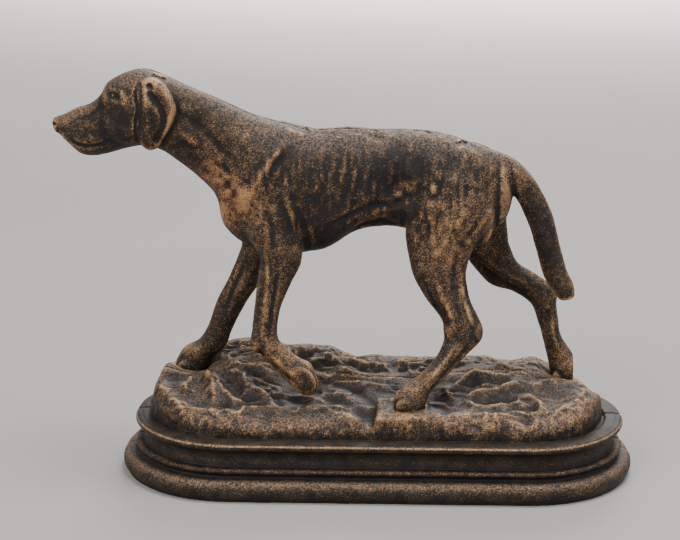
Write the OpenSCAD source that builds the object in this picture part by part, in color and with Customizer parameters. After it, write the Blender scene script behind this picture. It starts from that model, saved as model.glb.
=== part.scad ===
// Cast iron still bank: a hound walking over rocks on a moulded plinth.
// Two hollow half castings meet on the middle plane and three screws hold them together.
// +Z is up, the nose points along -X, and the origin is under the middle of the whole bank.

/* [Plinth] */
// Length of the plinth over its foot moulding
plinth_length = 217; // [212:1:222]
// Width of the plinth over its foot moulding
plinth_width = 97; // [95:1:101]
// Height of the plinth up to its ledge
plinth_height = 24; // [23.5:0.5:25]
// Corner radius of the plinth at its lip
lip_radius = 43; // [40:1:44]

/* [Castings] */
// Gap along the seam between the two half castings
seam_gap = 0.3; // [0.2:0.1:0.6]
// Wall thickness of the coin chamber
chamber_wall = 3.5; // [3:0.25:4]
// Wall thickness of the rockwork
rock_wall = 4; // [3.5:0.25:5]

/* [Coin slot] */
// Length of the slot along the spine
slot_length = 28; // [26:1:32]
// Width of the slot across the seam
slot_width = 4.6; // [4.4:0.1:5]

/* [Screws] */
// Diameter of the screw threads
screw_diameter = 4.8; // [4:0.2:5]
// Diameter of the round screw heads
head_diameter = 9; // [8:0.5:9.5]
// Height of the round screw heads
head_height = 2.8; // [2.4:0.2:3]
// Depth of the tapped holes below the seam
tapped_depth = 12; // [10:1:12]

/* [Hidden] */

$fn = 48;
reach = 400;
iron = [0.20, 0.16, 0.13];
dark_iron = [0.15, 0.13, 0.11];
steel = [0.42, 0.40, 0.37];

half_seam = seam_gap / 2;
ring_steps = 12;

// Plinth: the lip is the reference outline, and the moulding steps out and in from it
plinth_x = 14.2;
foot_step = 4.4;
lip_x = plinth_length / 2 - foot_step;
lip_y = plinth_width / 2 - foot_step;
ledge_width = 8;
inner_wall = 8;
flange_width = ledge_width + rock_wall;
flange_height = 4;

// Rockwork: its footprint is the lip outline drawn in by the ledge
blunt_end = 0.5;
rock_x = lip_x - ledge_width + blunt_end;
rock_y = lip_y - ledge_width;
rock_radius = lip_radius - ledge_width;
rock_shift = plinth_x - 1.4;
rock_skirt = 2;

// The legs part from the torso at these heights
foreleg_cut = 93;
hind_leg_cut = 96;

// Screws: places of the axes, seats of the heads, and clearances
torso_screw_at = [30, 120];
front_base_screw_at = [-50, 12];
rear_base_screw_at = [78, 12];
torso_seat = 12.2;
base_seat = 34;
boss_radius = 6;
clearance = 0.3;
thread_gap = 0.1;
seat_gap = 0.05;
screw_slot_width = 1.3;
screw_slot_depth = 1.5;

// Each station of the dog is a half ellipse that runs from an upper point to a lower point:
// [upper x, upper z, lower x, lower z, half width]
head_stations = [
    [-122.8, 150.2, -121.6, 147.6, 2.4],
    [-119, 151.6, -118, 142.4, 5],
    [-113, 153.8, -111, 136.2, 6.6],
    [-106.5, 156.2, -105, 135, 7.6],
    [-101.5, 160, -99, 136.2, 8.8],
    [-98, 165.8, -92, 138.2, 10.4],
    [-90, 169.8, -86, 139.5, 12],
    [-82, 171, -80, 138.5, 12.2],
    [-74, 167.4, -75, 136, 10.8],
    [-65, 163.5, -68.5, 131, 9.6],
    [-55, 159.3, -61, 125, 10.4],
    [-45, 154.8, -54.5, 117.5, 12.8]
];
torso_stations = [
    [-45, 154.8, -54.5, 117.5, 12.8],
    [-36, 151, -51.5, 106, 16],
    [-25, 148.4, -42, 97, 18],
    [-12, 146.2, -26, 94.4, 18.4],
    [0, 147, -10, 97.5, 18],
    [12, 146.2, 6, 103.2, 17],
    [25, 146.3, 18, 106, 15.6],
    [38, 144.8, 31, 103, 16],
    [50, 141.6, 46, 98.5, 16.6],
    [60, 137, 59, 97, 13.6],
    [67.5, 130, 68, 106, 6.5]
];
tail_stations = [
    [60.5, 137, 67.6, 122, 6],
    [67.5, 135.4, 68.6, 121, 5.8],
    [75.5, 128.6, 70.5, 117.8, 5.2],
    [81, 120.6, 73.6, 112, 4.7],
    [85.6, 111.2, 76.6, 104.6, 4.4],
    [89, 98, 79.8, 94, 4.2],
    [91.6, 89, 82.6, 85.4, 4],
    [95.6, 80, 87.4, 78.6, 3.4],
    [95.8, 75.4, 90.6, 75.6, 2.2]
];

// Each station of a leg is an ellipse between a front point and a rear point:
// [front x, front z, rear x, rear z, distance of its middle from the seam, half depth]
near_foreleg_stations = [
    [-46, 124, -30, 128, 10, 5],
    [-45, 112, -22, 116, 11.5, 7.2],
    [-40, 102, -18.5, 101, 12.5, 7.6],
    [-35.2, 94, -19.6, 92.4, 13.4, 6.8],
    [-37.4, 84, -24.4, 83, 14.4, 5.8],
    [-38, 74, -28.2, 74, 15.6, 5],
    [-39.4, 65, -28.4, 66, 16.6, 5.2],
    [-39.8, 58.8, -27.4, 60, 17.2, 5.2],
    [-34.6, 54, -25.4, 57.4, 17.6, 5],
    [-27.4, 46.2, -18.6, 52.6, 18, 5.6],
    [-20, 38.8, -13.4, 48, 18, 6],
    [-16.4, 36.6, -12.2, 41, 18, 4.4]
];
near_hind_leg_stations = [
    [34, 132, 54, 126, 11, 5],
    [26, 120, 60, 114, 12, 7.2],
    [24, 107, 54, 103, 12.6, 7.4],
    [26.2, 95, 49.8, 94, 13.6, 6.6],
    [29.6, 86, 49.4, 86, 15, 5.8],
    [35.4, 76.4, 52, 77, 16.8, 5.2],
    [41, 69, 56, 69.4, 18.4, 5],
    [41, 62, 55.4, 61.4, 19.8, 4.8],
    [37.4, 55, 49.6, 55, 21.4, 4.6],
    [30.6, 48, 42.8, 48, 23.4, 4.8],
    [22, 42.4, 36.4, 42, 25, 5.8],
    [19.8, 38.6, 34.4, 38, 25.8, 6.2],
    [21.4, 34.6, 33, 34.6, 26, 5.8]
];
far_foreleg_stations = [
    [-48, 126, -30, 128, 10, 5],
    [-49, 112, -24, 114, 11.5, 7.2],
    [-47.6, 102, -23, 100, 12.2, 7.4],
    [-45.4, 94, -30, 88, 12.6, 6.4],
    [-50.4, 80, -37.6, 76, 13, 5.4],
    [-56.4, 69, -44.6, 65.4, 13.2, 4.8],
    [-60.4, 57, -49.6, 54.6, 13.2, 4.8],
    [-65, 50.4, -52, 48, 13.2, 5.2],
    [-71.4, 47, -56, 42.4, 13.4, 6],
    [-74, 41, -58.6, 39, 13.4, 6.4],
    [-72.2, 35, -60, 35, 13.4, 5.8]
];
far_hind_leg_stations = [
    [36, 130, 56, 124, 11, 5],
    [34, 118, 62, 113, 12, 7],
    [40, 104, 66, 101, 12.6, 7],
    [49, 92, 68.4, 95, 13, 6.4],
    [60, 78.4, 72.4, 87.6, 13.4, 5.4],
    [70.6, 74, 81, 82.2, 13.8, 4.8],
    [78.6, 69, 88.6, 76.6, 14.2, 4.6],
    [82, 62, 91, 64, 14.4, 4.6],
    [84.6, 54, 92.8, 54.6, 14.4, 4.6],
    [86.6, 46, 98.2, 46.2, 14.4, 5.4],
    [88.4, 40, 100.4, 40.2, 14.4, 6],
    [89.4, 33.8, 99.6, 33.8, 14.4, 5.6]
];

// Beds in the rocks under the paws: [x, distance from the seam, height of the sole, radius of the bed]
near_paw_beds = [[27, 26, 34.6, 9.5], [-15.5, 18, 36.4, 6]];
far_paw_beds = [[-66, 13.4, 35, 9.5], [94.5, 14.4, 33.8, 8.5]];

// A half ellipse beside the seam, on the -Y side of it
function half_ring(s, seam = half_seam) = [for (i = [0:ring_steps]) let (a = 180 * i / ring_steps)
    [(s[0] + s[2]) / 2 + (s[0] - s[2]) / 2 * cos(a),
     -seam - s[4] * sin(a),
     (s[1] + s[3]) / 2 + (s[1] - s[3]) / 2 * cos(a)]];

// A whole ellipse at a distance from the seam, on the -Y side of it
function whole_ring(s) = [for (i = [0:ring_steps - 1]) let (a = 360 * i / ring_steps)
    [(s[0] + s[2]) / 2 + (s[0] - s[2]) / 2 * cos(a),
     -s[4] + s[5] * sin(a),
     (s[1] + s[3]) / 2 + (s[1] - s[3]) / 2 * cos(a)]];

// A station drawn in by a wall thickness all round
function drawn_in(s, wall) = let (dx = s[0] - s[2], dz = s[1] - s[3], long = norm([dx, dz]))
    [s[0] - dx / long * wall, s[1] - dz / long * wall,
     s[2] + dx / long * wall, s[3] + dz / long * wall, s[4] - wall];

// A closed solid through rings that all have the same number of points
module loft(rings) {
    m = len(rings[0]);
    last = len(rings) - 1;
    walls = [for (i = [0:last - 1], j = [0:m - 1], half = [0, 1]) let (k = (j + 1) % m)
        half == 0 ? [i * m + j, (i + 1) * m + j, i * m + k] : [i * m + k, (i + 1) * m + j, (i + 1) * m + k]];
    first_cap = [for (j = [0:m - 1]) j];
    last_cap = [for (j = [m - 1:-1:0]) last * m + j];
    polyhedron(points = [for (r = rings) each r], faces = concat(walls, [first_cap, last_cap]), convexity = 6);
}

module above(height) {
    translate([-reach / 2, -reach / 2, height]) cube(reach);
}

module below(height) {
    translate([-reach / 2, -reach / 2, height - reach]) cube(reach);
}

// A cylinder across the bank, from one distance from the seam to another, on the -Y side
module across(at, from, to, radius) {
    translate([at[0], -from, at[1]]) rotate([90, 0, 0]) cylinder(h = to - from, r = radius);
}

module other_side() {
    mirror([0, 1, 0]) children();
}

// Terrain of the rockwork over the ledge, with y signed: it climbs towards the far side
function hump(x, y, cx, cy, wx, wy, h) = h * exp(-pow((x - cx) / wx, 2) - pow((y - cy) / wy, 2));
function ground(x, y) = 38.4 + 0.22 * y
    + hump(x, y, -44, 14, 26, 22, 8)
    + hump(x, y, -8, 20, 22, 16, 3)
    + hump(x, y, 62, 6, 34, 20, 4.5)
    + hump(x, y, -78, 24, 8, 12, 3)
    - hump(x, y, -66, 12, 12, 12, 4.5)
    - hump(x, y, 96, 14, 13, 16, 4)
    + hump(x, y, 25, -30, 13, 9, 3.4);
function outline_y(x, big_x, big_y, r) = let (past = max(0, abs(x) - (big_x - r)))
    big_y - r + sqrt(max(0, r * r - past * past));
function corner_depth(x, y, big_x, big_y, r) = let (px = abs(x) - (big_x - r), py = abs(y) - (big_y - r))
    px > 0 && py > 0 ? r - norm([px, py]) : min(big_x - abs(x), big_y - abs(y));
function rise(depth) = 1 - exp(-max(0, depth) / 2.4);

rock_columns = [0, 0.2, 0.4, 0.58, 0.74, 0.86, 0.94, 0.98, 1];
rock_rows = 30;
function row_x(i, big_x) = -(big_x - blunt_end) * cos(180 * i / rock_rows);

// One cross row of the terrain: it runs from the seam out to the rim, and back below
function rock_ring(i, side, big_x, big_y, r, drop, floor_z, seam) = let (
    x = row_x(i, big_x),
    wide = max(0.6, outline_y(x, big_x, big_y, r)))
    concat(
        [for (c = rock_columns) let (y = wide * c)
            [x + rock_shift, c == 0 ? -seam : -y,
             plinth_height + (rock_skirt - drop)
                 + (ground(x + rock_shift, -side * y) - plinth_height - rock_skirt)
                 * rise(corner_depth(x, y, big_x, big_y, r))]],
        [[x + rock_shift, -wide, floor_z], [x + rock_shift, -seam, floor_z]]);

module rock_solid(side, inset, drop, floor_z, seam) {
    loft([for (i = [0:rock_rows]) rock_ring(i, side, rock_x - inset, rock_y - inset,
        rock_radius - inset, drop, floor_z, seam)]);
}

// The rockwork of one half: side is 1 on the left half and -1 on the right half.
// Its children are cut out of it: they are the feet that stand in it.
module rocks(side, beds) {
    bed_depth = 5;
    difference() {
        union() {
            difference() {
                rock_solid(side, 0, 0, plinth_height, half_seam);
                rock_solid(side, rock_wall, rock_wall, plinth_height - rock_wall, -1);
            }
            for (b = beds)
                translate([b[0], -b[1], b[2] - bed_depth]) cylinder(h = bed_depth, r = b[3]);
        }
        for (b = beds)
            translate([b[0], -b[1], b[2]]) cylinder(h = 40, r = b[3]);
        children();
    }
}

// Section of the plinth: x is the distance out from the lip, y is the height
module plinth_section() {
    h = plinth_height;
    foot_radius = 4.6;
    difference() {
        union() {
            translate([-inner_wall, 0]) square([inner_wall - 3.6, h]);
            translate([-flange_width, h - flange_height]) square([flange_width - 1.2, flange_height]);
            translate([-1.6, h - 1.6]) circle(r = 1.6);
            translate([-3, h - 3.2]) square([1.4, 3.2]);
            translate([-inner_wall, 0]) square([inner_wall + foot_step - 1.4, 3]);
            translate([foot_step - foot_radius, foot_radius]) circle(r = foot_radius);
            translate([-inner_wall, 0]) square([inner_wall - 1, 2 * foot_radius]);
            translate([-inner_wall, 9]) square([inner_wall - 1.2, 4.4]);
            translate([-1.2, 12]) circle(r = 1.4);
        }
        translate([-0.2, 17]) circle(r = 3.8);
    }
}

// The plinth section swept round one half of the outline, with its ends square to the seam
module plinth_half() {
    sx = lip_x - lip_radius;
    sy = lip_y - lip_radius;
    translate([plinth_x, 0, 0]) {
        translate([-sx, -lip_y, 0]) rotate([90, 0, 90]) linear_extrude(2 * sx)
            mirror([1, 0]) plinth_section();
        for (end = [-1, 1]) translate([end * sx, -sy, 0]) {
            rotate([0, 0, end < 0 ? 180 : 270]) rotate_extrude(angle = 90)
                translate([lip_radius, 0]) plinth_section();
            translate([end * lip_radius, 0, 0]) mirror([end < 0 ? 1 : 0, 0, 0])
                rotate([90, 0, 0]) mirror([0, 0, 1]) linear_extrude(sy - half_seam) plinth_section();
        }
    }
}

module ear() {
    hull() {
        translate([-82.4, -11.4, 164.6]) sphere(r = 3.2, $fn = 24);
        translate([-75.4, -11.6, 162]) sphere(r = 3, $fn = 24);
        translate([-73.6, -13.2, 154]) sphere(r = 2.6, $fn = 24);
        translate([-81.6, -13.6, 144.4]) sphere(r = 3, $fn = 24);
    }
}

module head() {
    loft([for (s = head_stations) half_ring(s)]);
    ear();
}

module tail() {
    difference() {
        loft([for (s = tail_stations) half_ring(s)]);
        torso_outside();
    }
}

module torso_outside() {
    loft([for (s = torso_stations) half_ring(s)]);
}

module leg(stations) {
    loft([for (s = stations) whole_ring(s)]);
}

module coin_chamber() {
    inner = [for (i = [2:len(torso_stations) - 2]) drawn_in(torso_stations[i], chamber_wall)];
    loft([for (s = inner) half_ring(s, -1)]);
}

module coin_slot() {
    slot_x = 0.5;
    slot_bottom = 138;
    translate([slot_x - slot_length / 2, -slot_width / 2, slot_bottom]) cube([slot_length, slot_width, 20]);
}

// The torso of one half: a wall round the coin chamber, with the shoulder and the thigh on it
module torso(foreleg, hind_leg) {
    difference() {
        union() {
            torso_outside();
            intersection() {
                leg(foreleg);
                above(foreleg_cut);
            }
            intersection() {
                leg(hind_leg);
                above(hind_leg_cut);
            }
        }
        coin_chamber();
        coin_slot();
    }
}

module left_half_head() {
    color(iron) head();
}

module left_half_torso() {
    color(iron) difference() {
        union() {
            torso(near_foreleg_stations, near_hind_leg_stations);
            across(torso_screw_at, half_seam, 13.5, boss_radius);
        }
        across(torso_screw_at, -1, tapped_depth, screw_diameter / 2 + thread_gap);
    }
}

module left_half_foreleg() {
    color(iron) intersection() {
        leg(near_foreleg_stations);
        below(foreleg_cut);
    }
}

module left_half_hind_leg() {
    color(iron) intersection() {
        leg(near_hind_leg_stations);
        below(hind_leg_cut);
    }
}

module left_half_tail() {
    color(iron) tail();
}

module left_half_rocks() {
    color(dark_iron) rocks(1, near_paw_beds) leg(near_foreleg_stations);
}

module left_half_plinth() {
    color(dark_iron) difference() {
        union() {
            plinth_half();
            for (at = [front_base_screw_at, rear_base_screw_at])
                across(at, half_seam, lip_y - inner_wall + 1, boss_radius);
        }
        for (at = [front_base_screw_at, rear_base_screw_at])
            across(at, -1, tapped_depth, screw_diameter / 2 + thread_gap);
    }
}

module right_half_head() {
    color(iron) other_side() head();
}

module right_half_torso() {
    color(iron) other_side() difference() {
        union() {
            torso(far_foreleg_stations, far_hind_leg_stations);
            across(torso_screw_at, half_seam, 13.5, boss_radius);
        }
        across(torso_screw_at, -1, 40, screw_diameter / 2 + clearance);
        across(torso_screw_at, torso_seat, 40, head_diameter / 2 + clearance);
    }
}

module right_half_foreleg() {
    color(iron) other_side() intersection() {
        leg(far_foreleg_stations);
        below(foreleg_cut);
    }
}

module right_half_hind_leg() {
    color(iron) other_side() intersection() {
        leg(far_hind_leg_stations);
        below(hind_leg_cut);
    }
}

module right_half_tail() {
    color(iron) other_side() tail();
}

module right_half_rocks() {
    color(dark_iron) other_side() rocks(-1, far_paw_beds) leg(far_foreleg_stations);
}

module right_half_plinth() {
    color(dark_iron) other_side() difference() {
        union() {
            plinth_half();
            for (at = [front_base_screw_at, rear_base_screw_at])
                across(at, half_seam, lip_y - inner_wall + 1, boss_radius);
        }
        for (at = [front_base_screw_at, rear_base_screw_at]) {
            across(at, -1, 60, screw_diameter / 2 + clearance);
            across(at, base_seat, 60, head_diameter / 2 + clearance);
        }
    }
}

// A slotted round-head machine screw along Y, with its head on the far side
module screw(at, seat) {
    seat_y = seat + seat_gap;
    tip_y = tapped_depth - 1;
    dome = (pow(head_diameter / 2, 2) + pow(head_height, 2)) / (2 * head_height);
    color(steel) translate([at[0], 0, at[1]]) rotate([-90, 0, 0]) difference() {
        union() {
            translate([0, 0, -tip_y]) cylinder(h = seat_y + tip_y, r = screw_diameter / 2);
            translate([0, 0, seat_y]) intersection() {
                cylinder(h = head_height, r = head_diameter / 2);
                translate([0, 0, head_height - dome]) sphere(r = dome);
            }
        }
        translate([-screw_slot_width / 2, -head_diameter, seat_y + head_height - screw_slot_depth])
            cube([screw_slot_width, 2 * head_diameter, head_height]);
    }
}

module torso_screw() {
    screw(torso_screw_at, torso_seat);
}

module front_base_screw() {
    screw(front_base_screw_at, base_seat);
}

module rear_base_screw() {
    screw(rear_base_screw_at, base_seat);
}

left_half_head();
left_half_torso();
left_half_foreleg();
left_half_hind_leg();
left_half_tail();
left_half_rocks();
left_half_plinth();
right_half_head();
right_half_torso();
right_half_foreleg();
right_half_hind_leg();
right_half_tail();
right_half_rocks();
right_half_plinth();
torso_screw();
front_base_screw();
rear_base_screw();
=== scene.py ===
import functools
import math

import bpy
import numpy as np
import openvdb
from mathutils import Matrix, Vector

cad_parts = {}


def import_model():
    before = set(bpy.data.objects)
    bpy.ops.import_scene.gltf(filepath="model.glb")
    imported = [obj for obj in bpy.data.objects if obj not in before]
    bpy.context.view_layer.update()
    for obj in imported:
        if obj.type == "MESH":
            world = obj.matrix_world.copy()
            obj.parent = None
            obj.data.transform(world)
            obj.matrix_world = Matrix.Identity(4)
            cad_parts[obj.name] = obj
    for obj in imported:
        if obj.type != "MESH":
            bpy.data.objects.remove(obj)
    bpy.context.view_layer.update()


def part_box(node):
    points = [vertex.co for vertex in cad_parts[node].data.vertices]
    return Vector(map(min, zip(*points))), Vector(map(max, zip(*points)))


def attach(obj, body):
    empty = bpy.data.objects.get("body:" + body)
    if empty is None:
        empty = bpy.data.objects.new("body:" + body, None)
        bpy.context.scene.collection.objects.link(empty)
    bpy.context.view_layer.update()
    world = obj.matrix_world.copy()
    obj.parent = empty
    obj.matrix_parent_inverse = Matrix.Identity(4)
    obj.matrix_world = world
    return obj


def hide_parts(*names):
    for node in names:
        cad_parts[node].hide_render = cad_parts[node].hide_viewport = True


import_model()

# Everything below is shaped in millimetres in the row frame, and MM turns it into metres. Each half
# casting is shaped by x, z and its distance out from the seam, called "out", so that one set of shapes
# serves both halves: out grows towards -Y on the left half and towards +Y on the right half.
MM = 0.001
FAR = 5.0
DOG_STEP = 0.5
ROCK_STEP = 0.6
PLINTH_STEP = 0.6
SCREW_STEP = 0.16
END_CAP = 0.45
NOISE_TABLE = 97


def box_of(node):
    """Lowest and highest corner of a CAD node, in millimetres to the nearest tenth."""
    return [[round(v / MM, 1) for v in corner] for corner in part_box(node)]


def middle_of(node, axis):
    low, high = box_of(node)
    return round((low[axis] + high[axis]) / 2, 1)


# Seams, and the coin slot along the spine
HALF_SEAM = 0.15
ROCK_SEAM = 0.04
PLINTH_SEAM = 0.18
SLOT_X = 0.5
SLOT_LENGTH = 28
SLOT_WIDTH = 4.6
SLOT_FLOOR = 138

# Screws: each has its axis in the side view, and the seat of its head as a distance from the seam
HEAD_HEIGHT = 2.8
SCREWS = {
    node: ((middle_of(node, 0), middle_of(node, 2)), round(box_of(node)[1][1] - HEAD_HEIGHT, 1))
    for node in ("torso_screw", "front_base_screw", "rear_base_screw")
}
BASE_SCREWS = [SCREWS["front_base_screw"], SCREWS["rear_base_screw"]]
SCREW_LOW, SCREW_HIGH = box_of("torso_screw")
HEAD_RADIUS = (SCREW_HIGH[0] - SCREW_LOW[0]) / 2
SCREW_END = -SCREW_LOW[1]
TAPPED_DEPTH = SCREW_END + 1
SCREW_RADIUS = 2.4
BOSS_RADIUS = 6
CLEARANCE = 0.3
THREAD_PITCH = 1.06
THREAD_DEPTH = 0.6
DRIVER_SLOT_HALF = 0.6
DRIVER_SLOT_DEPTH = 1.4

# Plinth: its lip is the reference outline, and the foot steps out from it
PLINTH_LOW, PLINTH_HIGH = box_of("left_half_plinth")
PLINTH_HEIGHT = PLINTH_HIGH[2]
FOOT_STEP = 4.4
FOOT_SPREAD = 1.3
LIP_X = middle_of("left_half_plinth", 0)
LIP_HALF_X = round((PLINTH_HIGH[0] - PLINTH_LOW[0]) / 2 - FOOT_STEP, 1)
LIP_HALF_Y = round(-PLINTH_LOW[1] - FOOT_STEP, 1)
LIP_RADIUS = 43
LEDGE = 8
FLANGE = 12
INNER_WALL = 8

# Rockwork: its footprint is the lip's outline drawn in by the ledge, and a little fuller at the ends
ROCK_X = middle_of("left_half_rocks", 0)
ROCK_HALF_X = round(LIP_HALF_X - LEDGE + 0.4, 1)
ROCK_HALF_Y = round(LIP_HALF_Y - LEDGE, 1)
ROCK_RADIUS = LIP_RADIUS - LEDGE
ROCK_WALL = 4
ROCK_FOOT = 21.0
ROCK_SEED = 31


# ---- clay: a signed distance on a grid

class Clay:
    """A block of clay: the signed distance to its surface on a regular grid, below zero inside."""

    def __init__(self, low, high, step):
        self.step = step
        self.low = np.array(low, float)
        counts = [math.ceil((h - l) / step) + 1 for l, h in zip(low, high)]
        self.axes = [(l + step * np.arange(n)).astype(np.float32) for l, n in zip(low, counts)]
        self.d = np.full(counts, FAR, np.float32)

    def cut(self, low, high):
        """The slices of the grid that cover a box."""
        out = []
        for axis, start, l, h in zip(self.axes, self.low, low, high):
            i = math.floor((l - start) / self.step)
            j = math.ceil((h - start) / self.step) + 1
            out.append(slice(min(max(i, 0), len(axis)), min(max(j, 0), len(axis))))
        return tuple(out)

    def points(self, cut):
        """The coordinates of a cut, ready to broadcast."""
        x, out, z = (self.axes[a][c] for a, c in enumerate(cut))
        return x[:, None, None], out[None, :, None], z[None, None, :]

    def everywhere(self):
        return self.points([slice(None)] * 3)

    def work(self, change, solid, blend):
        """Changes the clay where a solid is, and a little round it."""
        low, high, distance = solid
        pad = blend + 2.0
        cut = self.cut(np.array(low) - pad, np.array(high) + pad)
        if min(s.stop - s.start for s in cut) > 0:
            self.d[cut] = change(self.d[cut], distance(*self.points(cut)), blend)

    def add(self, solid, blend=0.0):
        """Joins a solid on, with a fillet of that size."""
        self.work(smooth_min, solid, blend)

    def take(self, solid, blend=0.0):
        """Cuts a solid away, with rounded edges of that size."""
        self.work(carved, solid, blend)

    def sample(self, values, points, stride=1):
        """Values of a grid over this clay at points, by straight interpolation."""
        at = (points - self.low) / (self.step * stride)
        at = np.clip(at, 0, np.array(values.shape) - 1.001)
        i = at.astype(int)
        f = (at - i).astype(np.float32)
        total = np.zeros(len(points), np.float32)
        for corner in range(8):
            side = [(corner >> a) & 1 for a in range(3)]
            weight = np.prod([f[:, a] if side[a] else 1 - f[:, a] for a in range(3)], axis=0)
            total += weight * values[i[:, 0] + side[0], i[:, 1] + side[1], i[:, 2] + side[2]]
        return total


def smooth_min(a, b, k):
    """The union of two distances, with a fillet of size k."""
    if k <= 0:
        return np.minimum(a, b)
    h = np.maximum(k - np.abs(a - b), 0) / k
    return np.minimum(a, b) - h * h * k * 0.25


def smooth_max(a, b, k):
    """What two distances share, with edges rounded by k."""
    return -smooth_min(-a, -b, k)


def carved(a, b, k):
    """The first distance with the second cut away, and edges rounded by k."""
    return -smooth_min(-a, b, k)


def most(*values):
    """The greatest of several grids, which is what their solids share."""
    return functools.reduce(np.maximum, values)


def bell(distance, width):
    return np.exp(-(distance / width) ** 2)


def between(values):
    return np.clip(values, 0, 1)


def softened(d, passes):
    """A grid blurred by that many small passes."""
    out = d.copy()
    for _ in range(passes):
        for axis in range(3):
            mid = np.moveaxis(out, axis, 0)
            new = mid.copy()
            new[1:-1] = 0.25 * mid[:-2] + 0.5 * mid[1:-1] + 0.25 * mid[2:]
            out = np.moveaxis(new, 0, axis)
    return out


def lumps(axes, size, seed):
    """Smooth noise from -1 to 1 on a grid, whose lumps are about size across."""
    rng = np.random.default_rng(seed)
    steps = [(a - a[0]) / size for a in axes]
    knots = rng.uniform(-1, 1, [int(s[-1]) + 3 for s in steps]).astype(np.float32)
    for axis, s in enumerate(steps):
        i = s.astype(int)
        f = s - i
        f = (f * f * (3 - 2 * f)).astype(np.float32)
        f = np.moveaxis(f[:, None, None], 0, axis)
        knots = np.take(knots, i, axis) * (1 - f) + np.take(knots, i + 1, axis) * f
    return knots


def plane_noise(u, v, seed):
    """Smooth noise from -1 to 1 at any places on a plane, with lumps one unit across."""
    table = np.random.default_rng(seed).uniform(-1, 1, (NOISE_TABLE, NOISE_TABLE))
    i, j = np.floor(u).astype(int), np.floor(v).astype(int)
    f, g = u - i, v - j
    f, g = f * f * (3 - 2 * f), g * g * (3 - 2 * g)
    near_i, far_i = i % NOISE_TABLE, (i + 1) % NOISE_TABLE
    near_j, far_j = j % NOISE_TABLE, (j + 1) % NOISE_TABLE
    a = table[near_i, near_j] * (1 - f) + table[far_i, near_j] * f
    b = table[near_i, far_j] * (1 - f) + table[far_i, far_j] * f
    return a * (1 - g) + b * g


# ---- solids: (low, high, distance)

CURVE_PARTS = 5


def curved(stations):
    """Stations on a smooth curve through the given ones."""
    s = np.array(stations, float)
    s = np.vstack([2 * s[0] - s[1], s, 2 * s[-1] - s[-2]])
    out = []
    for a, b, c, d in zip(s[:-3], s[1:-2], s[2:-1], s[3:]):
        for t in np.arange(CURVE_PARTS) / CURVE_PARTS:
            out.append(0.5 * (2 * b + (c - a) * t + (2 * a - 5 * b + 4 * c - d) * t ** 2
                              + (3 * b - 3 * c + d - a) * t ** 3))
    out.append(s[-2])
    return np.array(out)


def loft(stations, power=2.0):
    """A solid between two edges in the side view: each station is (x, z of one edge, x, z of the other
    edge, out, half depth). Its section is an ellipse, or boxier for a higher power."""
    chain = curved(stations)
    pad = 3.0 + END_CAP * max(math.hypot(s[0] - s[2], s[1] - s[3]) / 2 for s in (chain[0], chain[-1]))
    xs, zs, deep = chain[:, [0, 2]], chain[:, [1, 3]], chain[:, 5]
    low = [xs.min() - pad, (chain[:, 4] - deep).min() - pad, zs.min() - pad]
    high = [xs.max() + pad, (chain[:, 4] + deep).max() + pad, zs.max() + pad]

    def across(x, z, line):
        """Distance past a station, and four things there: place along it, half length, out and half depth."""
        dx, dz = line[2] - line[0], line[3] - line[1]
        size = math.hypot(dx, dz)
        past = ((x - line[0]) * dz - (z - line[1]) * dx) / size
        along = 2 * ((x - line[0]) * dx + (z - line[1]) * dz) / size ** 2 - 1
        return past, np.stack(np.broadcast_arrays(along, size / 2, line[4], line[5]))

    def distance(x, out, z):
        xs, zs = x[:, :, 0], z[:, 0, :]
        beyond, best = across(xs, zs, chain[0])
        beyond = np.abs(beyond)
        past, own = across(xs, zs, chain[-1])
        nearer = np.hypot(past, own[0] * own[1]) < np.hypot(beyond, best[0] * best[1])
        beyond = np.where(nearer, np.abs(past), beyond)
        best = np.where(nearer, own, best)
        for p, q in zip(chain[:-1], chain[1:]):
            past, own = across(xs, zs, p)
            next_past, next_own = across(xs, zs, q)
            own = own + past / (past - next_past + 1e-9) * (next_own - own)
            inside = (past * next_past <= 0) & ((beyond > 0) | (np.abs(own[0]) < np.abs(best[0])))
            beyond = np.where(inside, 0, beyond)
            best = np.where(inside, own, best)
        along, half, middle, depth = best
        across_size = np.hypot(along, beyond / (END_CAP * half))[:, None, :] + 1e-3
        half = np.where(beyond > 0, 0.5 * (1 + END_CAP) * half, half)[:, None, :]
        deep = depth[:, None, :]
        off = np.abs(out - middle[:, None, :]) / deep
        k0 = (across_size ** power + off ** power) ** (1 / power)
        slope = np.hypot(across_size ** (power - 1) / half, off ** (power - 1) / deep)
        return ((k0 - 1) * k0 ** (power - 1) / (slope + 1e-4)).astype(np.float32)
    return low, high, distance


def on_seam(stations):
    """Stations without an out, with their middles put on the seam."""
    return [(*ends, 0, deep) for *ends, deep in stations]


def egg(x0, z0, out0, rx, rz, ro, turn=0.0):
    """An ellipsoid turned about the Y axis; a positive turn lifts its -X end."""
    c, s = math.cos(math.radians(turn)), math.sin(math.radians(turn))

    def distance(x, out, z):
        u = (x - x0) * c - (z - z0) * s
        w = (x - x0) * s + (z - z0) * c
        n = (out - out0) ** 2
        k0 = np.sqrt(u ** 2 / rx ** 2 + w ** 2 / rz ** 2 + n / ro ** 2 + 1e-6)
        k1 = np.sqrt(u ** 2 / rx ** 4 + w ** 2 / rz ** 4 + n / ro ** 4 + 1e-8)
        return k0 * (k0 - 1) / k1
    r = max(rx, rz)
    return [x0 - r, out0 - ro, z0 - r], [x0 + r, out0 + ro, z0 + r], distance


def cylinder_across(x0, z0, start, end, radius):
    """A cylinder that points straight out from the seam."""
    def distance(x, out, z):
        return most(np.hypot(x - x0, z - z0) - radius, start - out, out - end)
    return [x0 - radius, start, z0 - radius], [x0 + radius, end, z0 + radius], distance


def block(low, high):
    def distance(x, out, z):
        return most(*(np.maximum(l - v, v - h) for l, v, h in zip(low, (x, out, z), high)))
    return low, high, distance


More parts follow.
